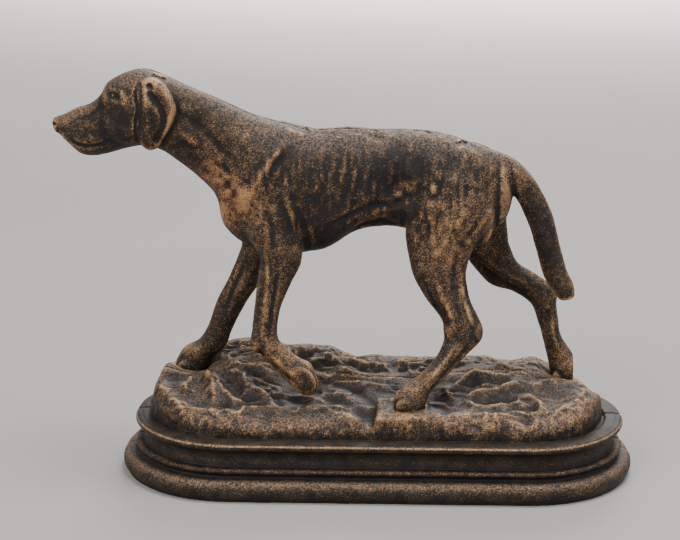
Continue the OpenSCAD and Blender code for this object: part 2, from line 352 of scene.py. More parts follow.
def line_distance(x, z, points):
    """Distance on a plane from a line through points, and how far along it the nearest place is."""
    best = np.full(np.broadcast(x, z).shape, 1e9, np.float32)
    along = np.zeros_like(best)
    for i, (p, q) in enumerate(zip(points[:-1], points[1:])):
        d = q - p
        t = between(((x - p[0]) * d[0] + (z - p[1]) * d[1]) / max(d @ d, 1e-9))
        r = (x - p[0] - t * d[0]) ** 2 + (z - p[1] - t * d[1]) ** 2
        nearer = r < best
        best = np.where(nearer, r, best)
        along = np.where(nearer, (i + t) / (len(points) - 1), along)
    return np.sqrt(best), along


def stroke(clay, route, width, height, taper=0.25):
    """A ridge on the side view, or a groove if height is below zero. Its ends fade out over taper, and it
    swells and thins a little on its way."""
    pts = np.array(route, float)
    pad = 3 * width
    low, high = pts.min(0) - pad, pts.max(0) + pad
    cut = clay.cut([low[0], -99, low[1]], [high[0], 99, high[1]])
    x, _, z = clay.points(cut)
    xs, zs = x[:, :, 0], z[:, 0, :]
    r, t = line_distance(xs, zs, curved(route))
    fade = between(np.minimum(t, 1 - t) / taper)
    seed = int(abs(pts.sum()) * 10)
    swell = 1 + 0.45 * plane_noise(xs / 3.5, zs / 3.5, seed)
    shift = 1 + 0.35 * plane_noise(xs / 5, zs / 5, seed + 1)
    shape = height * swell * bell(r * shift, width) * (0.2 + 0.8 * fade)
    clay.d[cut] -= shape[:, None, :].astype(np.float32)


# ---- the hound

# Stations on the seam, from nose to tail: (x, z of the upper edge, x, z of the lower edge, half depth)
BODY = [
    (-121.6, 150.8, -119.6, 144.6, 4.2), (-118, 152.2, -116, 140.6, 5.4),
    (-112.6, 154.8, -110.6, 135.9, 6.4), (-106.5, 157, -105, 135.2, 7), (-102, 160.8, -100, 136.2, 7.8),
    (-99.8, 165, -95, 137.6, 9.2), (-95.4, 168.2, -90, 139, 10.6), (-89, 170.8, -85, 139.8, 11.4),
    (-82, 171.2, -80, 139, 11.8), (-74, 168.2, -75, 136.8, 10.4), (-65, 164.2, -68.5, 132, 9.4),
    (-55, 160, -61, 125.8, 10.2), (-45, 155.4, -54.5, 118.4, 12.6), (-36, 151.8, -51.5, 106.5, 15.6),
    (-25, 149.4, -41.5, 98, 17.4), (-12, 147, -26, 94.6, 17.8), (0, 147.8, -9.4, 96.9, 17.2),
    (12, 147, 4, 104.6, 16), (25, 147.2, 18, 106.8, 14.8), (38, 145.8, 31, 104, 15.2),
    (50, 142.8, 46, 99, 15.6), (57.4, 139.6, 57, 99, 13.6), (62.6, 135.4, 62, 107, 10),
]
CHAMBER = [
    (-25, 144.2, -38, 103, 13.8), (-12, 142.4, -25, 98.6, 14.3), (0, 143, -10, 101.4, 13.8),
    (12, 142.4, 6, 107.2, 12.6), (25, 142.4, 18.6, 110.4, 11.4), (38, 140.8, 31.6, 107.6, 11.8),
    (50, 137.4, 46, 102.6, 12.2),
]
TAIL = [
    (57, 139.8, 63, 122, 6), (67, 136.4, 67.4, 121.4, 5.8), (75.4, 129.6, 70.6, 118, 5.3),
    (81.2, 121, 73.6, 112.4, 4.8), (85.8, 111.4, 76.6, 104.8, 4.5), (89.4, 98.4, 80, 94.4, 4.3),
    (92.2, 89, 82.8, 85.6, 4.1), (95.8, 81, 86.4, 79.2, 3.7), (96.4, 77, 89.4, 75.6, 3),
]
# Stations of the limbs: (x, z of one edge, x, z of the other edge, out, half depth)
NEAR_FORELEG = [
    (-44, 121, -30, 126, 9, 5.4), (-43.5, 113, -22.6, 115, 11, 6.8), (-40, 103, -18.4, 102.6, 12.4, 7.2),
    (-35.8, 95, -18.8, 93.6, 13.4, 6.4), (-37, 85, -23.2, 84, 14.4, 5.4), (-38, 75, -27.2, 74.6, 15.6, 4.7),
    (-39, 66, -28.6, 66.4, 16.6, 4.8), (-39.4, 60.6, -28, 61.4, 17.2, 5),
    (-35.6, 55, -25.4, 58.4, 17.6, 4.8), (-29, 48, -19.8, 53.6, 18, 5), (-23, 41.8, -14.6, 50.6, 18, 5.4),
    (-18, 37.6, -12.4, 44, 18, 5.4),
]
NEAR_HIND_LEG = [
    (36, 130, 54, 126, 10.4, 5.4), (27.4, 119, 60, 114, 11.4, 7.4), (24.2, 107.6, 54, 103.6, 12.4, 7.4),
    (25.8, 95.6, 50.2, 94, 13.6, 6.6), (28, 88, 49.6, 87, 14.8, 5.9), (33.6, 78.8, 51.6, 78.4, 16.6, 5.2),
    (39.8, 70.8, 55.4, 71, 18.2, 4.9), (41.2, 64, 56.4, 63.4, 19.4, 4.8), (37.6, 55.4, 49.4, 56, 21.4, 4.6),
    (31, 48.6, 42.4, 48.6, 23.4, 4.7), (24.4, 43.4, 36, 42.4, 25, 5.4), (20.8, 40, 34, 37.6, 25.8, 5.8),
    (20.6, 35.6, 33, 34.6, 26, 5.8),
]
FAR_FORELEG = [
    (-46, 122, -30, 126, 9, 5.4), (-47, 112, -25, 114, 11, 6.8), (-46.4, 102, -24, 100, 12, 7),
    (-45.2, 94, -30.6, 88.6, 12.6, 6.2), (-50.4, 80.4, -38, 76.4, 13, 5.2),
    (-56, 69.4, -44.8, 66, 13.2, 4.7), (-60, 57.6, -49.8, 55.2, 13.2, 4.7),
    (-64.4, 51, -52.6, 48.4, 13.2, 5.1), (-70.4, 47.6, -57.6, 43.4, 13.4, 5.6),
    (-74.2, 41.4, -60.4, 37.4, 13.4, 5.8),
]
FAR_HIND_LEG = [
    (38, 128, 56, 124, 10.4, 5.4), (35, 117, 66, 115, 11.6, 7), (41, 104.6, 67.8, 103, 12.4, 6.8),
    (49.6, 91.4, 69, 95, 13, 6.2), (60.4, 78.4, 73, 87.2, 13.4, 5.2), (70.8, 74.6, 80.6, 82.2, 13.8, 4.7),
    (78.6, 69.4, 88.4, 76, 14.2, 4.6), (82, 62, 90.8, 64, 14.4, 4.5), (84.6, 54, 92.8, 54.6, 14.4, 4.5),
    (86.6, 46.6, 97.6, 46.6, 14.4, 5.2), (88.2, 40, 101.4, 40, 14.4, 5.8),
    (88.8, 34.6, 101.6, 35, 14.4, 5.8),
]
# The line of the spine
SPINE_X = [-70, -57, -41, -28, -12, 10, 30, 46, 57]
SPINE_Z = [167, 161, 154, 151, 147.5, 148, 147, 144, 140]
# The ear in the side view: its outline, and the lines of its rolled lobe, its valley and its flap
EAR = [(-84.6, 168.4), (-80, 169.4), (-75.4, 167), (-71.6, 162.4), (-69.8, 156.6), (-71.6, 150.6),
       (-74.8, 145.4), (-77.6, 140.8), (-81.2, 139.4), (-84.6, 141.6), (-85.9, 148), (-85.4, 156),
       (-85.2, 163)]
EAR_LINES = [
    [(-78.4, 166.4), (-74, 161.8), (-72, 156.6), (-73, 151.4), (-75.6, 147)],
    [(-80.4, 163), (-77, 158.6), (-74.9, 154), (-75.2, 149), (-77.4, 144.4)],
    [(-82.4, 164), (-81.4, 155), (-80.6, 148), (-80.6, 143.6)],
]

# Ridges and grooves: (places as x, z, width, height, and the taper where it isn't the usual one)
MUSCLES = [
    # hollow of the neck, and front of the ribs
    ([(-60, 141), (-52, 132), (-47.6, 122), (-47.4, 112)], 3.2, -1.2),
    ([(-19.6, 143), (-19.6, 134), (-22, 126), (-24.4, 119)], 2.8, 0.4),
    ([(-26.4, 143), (-27, 133), (-30, 124)], 2.8, -0.7),
    # neck cords
    ([(-74, 158), (-64, 152), (-52, 141), (-44, 133)], 2.6, -0.7),
    ([(-72, 149), (-62, 142), (-54, 132), (-48, 126)], 2.4, 0.8),
    # elbow and the crease behind it
    ([(-24.4, 121), (-22.4, 113), (-20.6, 106)], 1.6, 0.6, 0.4),
    ([(-20.8, 119), (-18.2, 111), (-16.4, 104), (-15.4, 97)], 2.2, -1.3, 0.4),
    ([(-34, 117), (-30.4, 108), (-29.6, 98)], 1.8, -0.5),
    # flank, belly folds and the edge of the thigh
    ([(20, 132), (22.6, 124), (23, 116)], 6, -1.6),
    ([(-6, 105.4), (1.3, 110.2), (7.5, 113.4), (13.7, 114.8), (20, 113.6), (23.4, 109)], 1.7, 0.3, 0.4),
    ([(-8, 109), (0, 113.8), (7.5, 117.2), (14, 118.6), (21.4, 117.8)], 1.8, -0.8),
    ([(2, 106.4), (8, 110), (14, 111), (20, 109.6)], 1.4, -1),
    ([(37, 138), (36, 129.4), (34, 121), (30.6, 114.6), (27.6, 109)], 3.4, 1),
    # haunch
    ([(53, 125), (45, 113), (39, 102), (34.6, 95)], 2.6, 0.7),
    ([(60, 118), (53, 108), (47, 100)], 1.8, 0.4),
    ([(33, 114), (32.4, 106), (31.6, 98)], 2.6, -0.8),
    ([(55.6, 114), (48.6, 104), (44, 96)], 2, -0.45),
    ([(62, 133), (59, 128), (60, 121)], 2.6, -0.35),
    # breaks in the metal along the spine and the rump
    ([(-24.6, 149.6), (-20.4, 148), (-16, 146.8)], 0.5, -0.7, 0.1),
    ([(-22, 150.4), (-18.4, 149), (-15.4, 148.4)], 1.2, 0.25, 0.2),
    ([(8.6, 146), (12, 145), (14.6, 145.4)], 0.5, -0.5, 0.1),
    ([(45, 143), (49, 142.3), (52.4, 141), (55, 139.4)], 0.5, -0.7, 0.1),
    ([(46, 144.4), (51, 143.2), (55.6, 141)], 1.4, 0.2, 0.2),
    ([(46, 138), (52, 137.4), (57, 135)], 2.6, 0.4),
    ([(33, 141), (40, 139), (46, 133)], 3, -0.6),
]
FACE = [
    ([(-98, 163.6), (-95.6, 164.2), (-93.2, 163.4)], 1.2, 0.25, 0.3),
    ([(-92.6, 165), (-91.4, 161.3), (-90.4, 157.6)], 1.3, 0.35),
    ([(-100, 158), (-94, 154.6), (-89, 149)], 3.4, -0.6),
    ([(-114.6, 142.6), (-111, 140.9), (-106, 140.3), (-101.4, 141.2), (-97.6, 143.2)], 0.7, -0.6, 0.3),
    ([(-115, 145), (-109, 143.4), (-102, 144)], 2.2, 0.25, 0.3),
    ([(-112, 151), (-105, 153), (-100, 157.6)], 1.8, -0.4),
    # the slit in front of the ear and the crack over it
    ([(-84.8, 168.4), (-86.3, 163.4), (-85.7, 156), (-86.8, 149), (-85.8, 141.4)], 0.4, -0.6, 0.2),
    ([(-80, 169.6), (-77.6, 168.6), (-74.6, 167.6)], 0.5, -0.8, 0.1),
]
NEAR_LEGS = [
    ([(-33.6, 100), (-32.4, 88), (-33.6, 76), (-34.4, 64)], 1.2, 0.4),
    ([(-28.4, 96), (-29, 86), (-30.8, 74), (-31.6, 63)], 1, -0.45),
    ([(-34, 53), (-28, 47), (-22.6, 42)], 0.9, -0.3),
    ([(-31, 56), (-25, 50.4), (-19, 45.6)], 1.6, 0.6),
    ([(44.6, 98), (44, 88), (45.6, 78), (48.4, 70)], 1.4, -0.4),
    ([(47.6, 92), (48.4, 82), (51, 74), (53.6, 68)], 1.2, 0.5),
    ([(36, 92), (38.6, 84), (42.4, 76), (45, 68)], 1.5, 0.5),
    ([(31.4, 90), (34.6, 82), (39, 74)], 1.2, -0.4),
    ([(46.4, 62), (40, 54), (33.6, 47)], 1, 0.4),
    ([(49.6, 60.4), (43.4, 53), (37, 46)], 0.9, -0.4),
]
FAR_LEGS = [
    ([(-38, 92), (-43, 80), (-49, 68), (-54.6, 56)], 1.5, 0.25),
    ([(-42, 92), (-46.6, 80), (-52.6, 66)], 1, -0.4),
    ([(55, 94), (64, 86), (74, 80.4), (82, 75)], 1.6, 0.25),
    ([(56, 88), (66, 80), (76, 75)], 1, -0.5),
    ([(87.6, 68), (88.8, 58), (91, 49)], 1.2, 0.25),
]


def toes(clay, tip, heel, spread, height, width):
    """Four toes side by side at the end of a paw: tip and heel are (x, z, out)."""
    dx, dz = heel[0] - tip[0], heel[1] - tip[1]
    for i in range(4):
        back = 0.5 + 0.12 * abs(i - 1.5)
        place = (tip[0] + dx * back, tip[1] + dz * back, tip[2] + (i - 1.5) * spread)
        turn = math.degrees(math.atan2(-dz, dx))
        clay.add(egg(*place, math.hypot(dx, dz) * 0.62, height, width, turn), 0.7)


def closed_distance(x, z, outline):
    """Signed distance in the side view from a smooth closed outline, below zero inside."""
    ring = curved([*outline, *outline[:2]])[:-CURVE_PARTS]
    size, _ = line_distance(x, z, ring)
    inside = np.zeros(size.shape, bool)
    for p, q in zip(ring[:-1], ring[1:]):
        if p[1] != q[1]:
            level = (p[1] > z) != (q[1] > z)
            inside ^= level & (x < (q[0] - p[0]) * (z - p[1]) / (q[1] - p[1]) + p[0])
    return np.where(inside, -size, size)


def ear():
    """The hanging ear: a leaf with a rolled back lobe and a valley between the lobe and the flap."""
    def distance(x, out, z):
        xs, zs = x[:, :, 0], z[:, 0, :]
        lobe, valley, flap = (line_distance(xs, zs, curved(line))[0] for line in EAR_LINES)
        pit = np.hypot(xs + 80.6, zs - 166)
        ridges = 0.55 * bell(lobe, 2.1) + 0.5 * bell(flap, 2.2)
        dips = bell(valley, 1.5) + 1.3 * bell(pit, 1.3) + 1.4 * bell(xs + 85.6, 2.6)
        face = 13.2 - 0.012 * (zs - 152) ** 2 + ridges - dips
        edge = closed_distance(xs, zs, EAR)
        rim = 1.8
        past_edge = edge[:, None, :] + rim
        past_face = out - face[:, None, :] + rim
        outer = np.hypot(np.maximum(past_edge, 0), np.maximum(past_face, 0)) - rim
        inner = np.minimum(np.maximum(past_edge, past_face), 0)
        return np.maximum(outer + inner, 7.5 - out)
    return [-88, 6, 138], [-67, 15, 172], distance


def muscles(clay):
    """Shoulder blade, point of the shoulder, smaller marks, and ribs."""
    stroke(clay, [(-24, 146), (-30.5, 137.5), (-35, 131), (-40, 122.6), (-43, 117.6)], 2.6, 1.0)
    clay.add(egg(-41.4, 121, 13.2, 4.4, 5.4, 4.2, 30), 3.0)
    for mark in MUSCLES:
        stroke(clay, *mark)
    for i in range(8):
        x = -16 + 4.9 * i
        rib = [(x + 0.5, 141 - 0.3 * i), (x - 0.4, 131), (x - 2.4, 120 + 0.5 * i)]
        stroke(clay, rib, 1.3, 0.22, 0.4)


def face(clay):
    """Brow, eye, cheek, nose and mouth."""
    clay.add(egg(-90, 151, 7.6, 8.4, 8.0, 3.4), 3.5)
    stroke(clay, [(-98.2, 161.4), (-95.6, 161.6), (-93, 160.4)], 1.3, -0.8, 0.2)
    clay.add(egg(-95.5, 161.7, 7.7, 1.2, 0.9, 1.2, 12), 0.2)
    clay.take(egg(-121.4, 148.9, 3.4, 1.4, 0.7, 1.2, 20), 0.5)
    for mark in FACE:
        stroke(clay, *mark)


def near_legs(clay):
    clay.add(loft(NEAR_FORELEG), 3.0)
    clay.add(loft(NEAR_HIND_LEG), 3.2)
    # wrist, knuckles and the folded paw
    clay.add(egg(-37, 59, 17.4, 2.6, 3.6, 4.2, 20), 2.0)
    toes(clay, (-13.4, 38.6, 18), (-19.6, 47.4, 18), 2.7, 4.8, 1.9)
    # hock and the hind paw on its rock
    clay.add(egg(54.2, 65.8, 19.6, 2.2, 4.2, 3.0, 10), 1.8)
    clay.add(egg(43.6, 66.8, 19.4, 2.6, 4, 3.4), 2.2)
    toes(clay, (20.8, 36.4, 26), (27.4, 38, 26), 2.8, 2.9, 1.9)
    for mark in NEAR_LEGS:
        stroke(clay, *mark)


def far_legs(clay):
    clay.add(loft(FAR_FORELEG), 3.0)
    clay.add(loft(FAR_HIND_LEG), 3.2)
    toes(clay, (-73.6, 38.4, 13.4), (-66, 40.6, 13.4), 2.8, 3.6, 1.9)
    toes(clay, (89.4, 35.6, 14.4), (93.4, 37.6, 14.4), 2.8, 3.2, 1.9)
    clay.add(egg(88.2, 73.4, 14.2, 2.2, 4, 3.0), 2.0)
    clay.add(egg(95.2, 41, 14.4, 6.2, 5.2, 5.8), 1.5)
    for mark in FAR_LEGS:
        stroke(clay, *mark)


def dog_clay(legs, seed, side):
    """One half of the hound: a solid head, limbs and tail, and a wall round the coin chamber."""
    clay = Clay([-125.5, -1.0, 29.0], [98.5, 34.0, 173.5], DOG_STEP)
    clay.add(loft(on_seam(BODY), 2.45))
    clay.add(loft(on_seam(TAIL)), 2.6)
    legs(clay)
    muscles(clay)
    face(clay)
    clay.add(ear(), 0.5)
    clay.d += 0.16 * lumps(clay.axes, 7.0, seed)
    clay.d += 0.10 * lumps(clay.axes, 3.2, seed + 1)
    clay.d += 0.06 * lumps(clay.axes, 1.6, seed + 2)
    fur(clay, seed + 4)
    open_seam(clay, seed + 3)
    clay.take(loft(on_seam(CHAMBER), 2.45), 0.6)
    screw, seat = SCREWS["torso_screw"]
    clay.add(cylinder_across(*screw, HALF_SEAM, 13, BOSS_RADIUS))
    # the slot's edge stands up on the left half and lies low on the right half
    by_slot = clay.cut([-30, 0, SLOT_FLOOR], [30, 9, 160])
    x, out, z = clay.points(by_slot)
    edge = 0.5 * bell(out - 3.4, 1.3) * between((SLOT_LENGTH / 2 + 3 - np.abs(x - SLOT_X)) / 4)
    clay.d[by_slot] += side * edge * np.ones_like(z)
    slot_start, slot_end = SLOT_X - SLOT_LENGTH / 2, SLOT_X + SLOT_LENGTH / 2
    clay.take(block([slot_start, -9, SLOT_FLOOR], [slot_end, SLOT_WIDTH / 2, 170]), 0.4)
    bore(clay, screw, seat, side)
    return clay


def fur(clay, seed):
    """Upright streaks of coat on the body, and ragged metal along the spine."""
    x, out, z = clay.axes
    streaks = lumps([x, out / 2, z / 3.4], 1.5, seed)
    top = np.interp(x, SPINE_X, SPINE_Z)
    below = top[:, None, None] - z[None, None, :]
    on_body = (between((x + 46) / 12) * between((60 - x) / 14))[:, None, None]
    clay.d += 0.15 * streaks * on_body * between((z - 104) / 8)
    ragged = lumps(clay.axes, 2.6, seed + 1) + 0.5 * lumps(clay.axes, 1.3, seed + 2)
    near_spine = between(1.4 - below / 3) * between((x + 30) / 8)[:, None, None]
    clay.d += 0.28 * ragged * near_spine * on_body


def open_seam(clay, seed, gap=HALF_SEAM, rounding=0.6):
    """Cuts the half off at the seam, with a slightly wavy and rounded edge."""
    wave = 0.6 * gap * lumps([clay.axes[0], clay.axes[1][:2], clay.axes[2]], 9.0, seed)[:, :1, :]
    beyond = gap + wave - clay.axes[1][None, :, None]
    clay.d = smooth_max(clay.d, beyond, rounding)


def bore(clay, at, seat, side):
    """A tapped hole in the left half, and a clear hole with a deep seat for the head in the right half."""
    if side < 0:
        clay.take(cylinder_across(*at, -1, TAPPED_DEPTH, SCREW_RADIUS + 0.15))
    else:
        clay.take(cylinder_across(*at, -1, 60, SCREW_RADIUS + CLEARANCE))
        clay.take(cylinder_across(*at, seat, 60, HEAD_RADIUS + CLEARANCE), 0.6)


# ---- the rocks

# Mounds and hollows in the rocks: (x, y, size along x, size along y, height)
MOUNDS = [(-44, 14, 26, 22, 8), (-8, 20, 22, 16, 3), (62, 6, 34, 20, 4.5), (-78, 24, 8, 12, 3),
          (-66, 12, 12, 12, -4.5), (96, 14, 13, 16, -4), (25, -30, 13, 9, 3.4)]


def hump(x, y, cx, cy, wx, wy, h):
    return h * bell(x - cx, wx) * bell(y - cy, wy)


def ground(x, y):
    """Height of the rocks under the hound, as in the CAD."""
    return 38.4 + 0.22 * y + sum(hump(x, y, *mound) for mound in MOUNDS)


def outline_distance(x, out, half_x, half_y, radius):
    """Distance out from a rounded rectangle, below zero inside."""
    px = np.abs(x) - (half_x - radius)
    py = np.abs(out) - (half_y - radius)
    return np.hypot(np.maximum(px, 0), np.maximum(py, 0)) + np.minimum(np.maximum(px, py), 0) - radius


# Crests in the rock: (points as x, y), width, height
CRESTS = [
    ([(-80, -11), (-75, -18), (-70, -25), (-67, -31)], 3.2, 2.4),
    ([(-67, -5), (-67, -11), (-66, -17)], 2.2, 2.9),
    ([(-60, -4), (-58, -11), (-56, -18), (-56, -24)], 2.2, 3.4),
    ([(-56, -4), (-54, -11), (-51, -18), (-46, -24), (-42, -24)], 1.8, 2.3),
    ([(-54, -5), (-49, -4), (-45, -7), (-42, -14), (-40, -19)], 2.2, 2.4),
    ([(-44, -19), (-38, -17), (-33, -21), (-29, -27)], 1.9, 2.2),
    ([(-53, -26), (-49, -30), (-45, -31), (-40, -28), (-34, -27), (-28, -27)], 1.6, 1.5),
    ([(-67, -26), (-61, -29), (-55, -30), (-51, -33)], 1.7, 1.6),
    ([(-42, -9), (-35, -11), (-29, -13), (-25, -17)], 1.6, 1.6),
    ([(-38, -14), (-33, -15), (-28, -18), (-24, -22)], 1.4, 1.2),
    ([(-29, -27), (-19, -26), (-9, -27), (-2, -31), (5, -33), (11, -36)], 1.9, 1.5),
    ([(-13, -18), (-9, -22), (-3, -26), (1, -27)], 1.5, 1.3),
    ([(-10, -17), (-6, -14), (0, -15), (4, -20)], 1.7, 1.5),
    ([(-46, 6), (-40, 4), (-36, 2), (-31, -1)], 1.8, 2.2),
    ([(-49, 1), (-43, -2), (-36, -3), (-30, -7)], 1.7, 1.6),
    ([(-19, 6), (-13, 9), (-8, 10), (-4, 8), (-1, 4)], 2.2, 2.4),
    ([(-13, -1), (-6, -2), (0, 1), (7, 1)], 1.5, 1.5),
    ([(-2, -8), (5, -6), (13, -8), (19, -6)], 2.2, 1.0),
    ([(38, -30), (46, -31), (54, -30), (62, -31), (69, -29), (76, -28)], 2.6, 1.9),
    ([(44, -24), (51, -22), (58, -25), (66, -23), (75, -22)], 1.5, 1.4),
    ([(43, -12), (48, -9), (52, -5), (58, -3), (65, -5), (72, -4)], 1.5, 2.0),
    ([(49, -19), (55, -16), (62, -14), (69, -11), (74, -10)], 1.3, 1.9),
    ([(56, -13), (60, -10), (65, -11)], 1.2, 1.2),
    ([(73, -20), (77, -17), (80, -20), (82, -24), (78, -28)], 1.4, 1.6),
    ([(74, -8), (80, -9), (85, -5), (91, -3)], 1.6, 1.5),
    ([(82, -27), (89, -25), (95, -20), (100, -12), (102, -4)], 2.4, 1.6),
    ([(52, 9), (58, 12), (63, 8), (68, 3), (75, 1)], 1.9, 2.0),
    ([(74, 9), (80, 15), (86, 16), (93, 12)], 2.6, 2.4),
    ([(42, -12), (44, -16), (49, -15)], 1.7, 1.5),
    ([(-78, 12), (-70, 20), (-58, 24), (-46, 22)], 2.4, 2.0),
    ([(-52, 30), (-38, 25), (-24, 27), (-12, 24)], 2.0, 1.9),
    ([(-22, 16), (-10, 18), (4, 15), (14, 18)], 1.9, 1.5),
    ([(6, 28), (20, 24), (34, 27), (46, 23)], 2.1, 1.9),
    ([(20, 12), (32, 15), (42, 12), (50, 16)], 1.8, 1.6),
    ([(56, 26), (68, 22), (80, 27), (92, 22)], 2.1, 1.9),
    ([(-64, 31), (-50, 33), (-30, 32)], 1.6, 1.4),
]
# The top line of the rocks on the seam plane. It drops by SIGHT_DROP for each millimetre to the far side.
SKYLINE_X = [-83, -78, -74, -50, -41, -27, -8, 4, 12, 22, 52, 61, 66, 73, 83, 98, 105]
SKYLINE_Z = [32, 44, 47, 55, 56, 53, 53, 47.6, 48.7, 47.6, 48.4, 49.3, 47.2, 46.5, 48.8, 41.5, 34]
SIGHT_DROP = 0.277
# Pits in the rock: (x, y, radius, depth)
PITS = [(75, -31, 2.6, 2.4), (78.4, -23.6, 2.4, 2.2), (-32, -33, 3.4, 1.8), (-49, -24, 2.6, 1.6),
        (10, -33, 5, 3.6), (64, -18, 6, 1.0), (88, -14, 5, 1.2)]


def rock_height(x, out, side, pads):
    """Height of the rock, and distance in from its rim. Both halves share one relief over the seam."""
    def waves(u, v, layer):
        return plane_noise(u, v, ROCK_SEED + layer)

    y = side * out
    h = ground(x, y) - 0.4 + hump(x, y, -77, 12, 8, 18, 6)
    edge = -outline_distance(x - ROCK_X, out, ROCK_HALF_X, ROCK_HALF_Y, ROCK_RADIUS)
    inner = between((edge - 3) / 9)
    wander_x = 1.3 * waves(x / 4.5, y / 4.5, 4)
    wander_y = 1.3 * waves(x / 4.5, y / 4.5, 5)
    crumple = np.zeros_like(h)
    for route, width, height in CRESTS:
        r, t = line_distance(x + wander_x, y + wander_y, curved(route))
        fade = between(np.minimum(t, 1 - t) / 0.3)
        swell = 0.8 * bell(r, 2.1 * width) + 0.7 * np.exp(-(r / (0.9 * width)) ** 1.3)
        h = h + height * (0.35 + 0.65 * fade) * swell
        crumple = np.maximum(crumple, bell(r, 2.6 * width))
    creases = np.abs(waves((x + wander_x) / 3.4, (y + wander_y) / 2.4, 6))
    h = h + crumple * 1.1 * (0.5 - creases)
    for cx, cy, r, deep in PITS:
        h = h - hump(x, y, cx, cy, r, r, deep)
    bend = 4 * waves(x / 19, y / 15, 0)
    folds = 1 - np.abs(waves((x + 2 * bend) / 13, (y + bend + 0.12 * x) / 6.2, 1)) * 2
    small = 1 - np.abs(waves((x - bend) / 6, (y + 0.5 * bend) / 3.4, 2)) * 2
    h = h + inner * (0.8 * folds + 0.15 * small) + 0.3 * waves(x / 6, y / 6, 3)
    h = smooth_min(h, np.interp(x, SKYLINE_X, SKYLINE_Z) - SIGHT_DROP * y - 0.4, 1.5)
    valleys = 3.2 * np.abs(waves((x + 2 * wander_x) / 9, (y + 2 * wander_y) / 5, 7))
    valleys = valleys + 1.6 * np.abs(waves((x + wander_x) / 4, (y + wander_y) / 3, 8))
    h = h - inner * between((y - 2) / 6) * valleys
    for pad_x, pad_out, pad_z, radius in pads:
        near_pad = np.exp(-(np.hypot(x - pad_x, out - pad_out) / radius) ** 4)
        h = h + (pad_z - h) * near_pad
    return h, edge


def pedestal():
    """The squared-off rock under the near hind paw, with a ragged top that falls to the front."""
    def distance(x, out, z):
        top = z - 35.6 + 0.24 * (out - 26) + 0.5 * plane_noise(x / 2.4, out / 2.4, 5)
        sides = np.maximum(13.2 - 0.1 * (36 - z) - x, x - 35)
        face = out - 35.6 + 0.05 * (z - 26)
        return smooth_max(smooth_max(sides, face, 1.6), smooth_max(top, 20 - out, 0.5), 1.8)
    return [12, 18, 20], [37, 38, 37], distance


def rock_clay(side, seed, pads, blocks):
    """The rockwork of one half: a shell on the plinth, open below, with a bed under each paw."""
    clay = Clay([-90, -1.0, 19.0], [115, 38.5, 60.0], ROCK_STEP)
    x, out, z = clay.everywhere()
    xs, outs = x[:, :, 0], out[:, :, 0]
    height, edge = rock_height(xs, outs, side, pads)
    flutes = 0.2 * plane_noise(xs / 3.2 + outs / 5, 0 * xs, seed + 4)
    flutes = flutes + 0.5 * plane_noise(xs / 9, outs / 9, seed + 5)
    slope = np.hypot(*np.gradient(height, clay.step))
    top = (z - height[:, :, None]) / np.sqrt(1 + slope[:, :, None] ** 2)
    lean = 0.08 * (z - 26)
    wall = (-edge + flutes)[:, :, None] + lean
    clay.d = smooth_max(top, wall, 4.0)
    tooled = 0.12 * plane_noise(x / 1.5, z / 7, seed + 9) + 0.2 * plane_noise(x / 5, z / 5, seed + 10)
    for solid in blocks:
        clay.add(solid, 1.2)
    rim = bell(edge, 7)[:, :, None]
    clay.d += rim * tooled * between((z - PLINTH_HEIGHT) / 4)
    clay.d += (0.08 + 0.12 * rim) * lumps(clay.axes, 2.6, seed + 6)
    clay.d += (0.04 + 0.14 * rim) * lumps(clay.axes, 1.4, seed + 7)
    hollow = np.maximum(top + ROCK_WALL + 2.2, wall + ROCK_WALL + 0.8)
    clay.d = carved(clay.d, hollow, 1.0)
    clay.d = np.maximum(clay.d, ROCK_FOOT - z)
    open_seam(clay, seed + 8, ROCK_SEAM, 0.2)
    return clay


# ---- the plinth

def plinth_section(o, z):
    """Signed distance to the plinth's section: o is the distance out from the lip."""
    def ring(co, cz, r):
        return np.hypot(o - co, z - cz) - r

    def box(o0, o1, z0, z1):
        return most(o0 - o, o - o1, z0 - z, z - z1)
    top = PLINTH_HEIGHT
    foot = np.maximum(box(-INNER_WALL, FOOT_STEP - 1.6, 0, 4.6), ring(0, 9, 9.2) - 0.2)
    joined = [
        (box(-FLANGE, -1.2, top - 4, top), 1.5), (ring(-1.5, top - 1.7, 1.7), 0.5), (foot, 0.3),
        (np.maximum(ring(FOOT_STEP - 4.5, 4.5, 4.5), -z), 0.3), (box(-INNER_WALL, -1.5, 8, 13), 0.4),
        (ring(-1.4, 12, 1.4), 0.6),
    ]
    grooves = [(ring(-0.1, 17, 3.9), 0.7), (ring(0.2, 9.9, 1.0), 0.4), (ring(-LEDGE - 0.2, top, 0.8), 0.5)]
    d = box(-INNER_WALL, -3.4, 0, top)
    for part, fillet in joined:
        d = smooth_min(d, part, fillet)
    for groove, rounding in grooves:
        d = carved(d, groove, rounding)
    return np.maximum(d, -z)


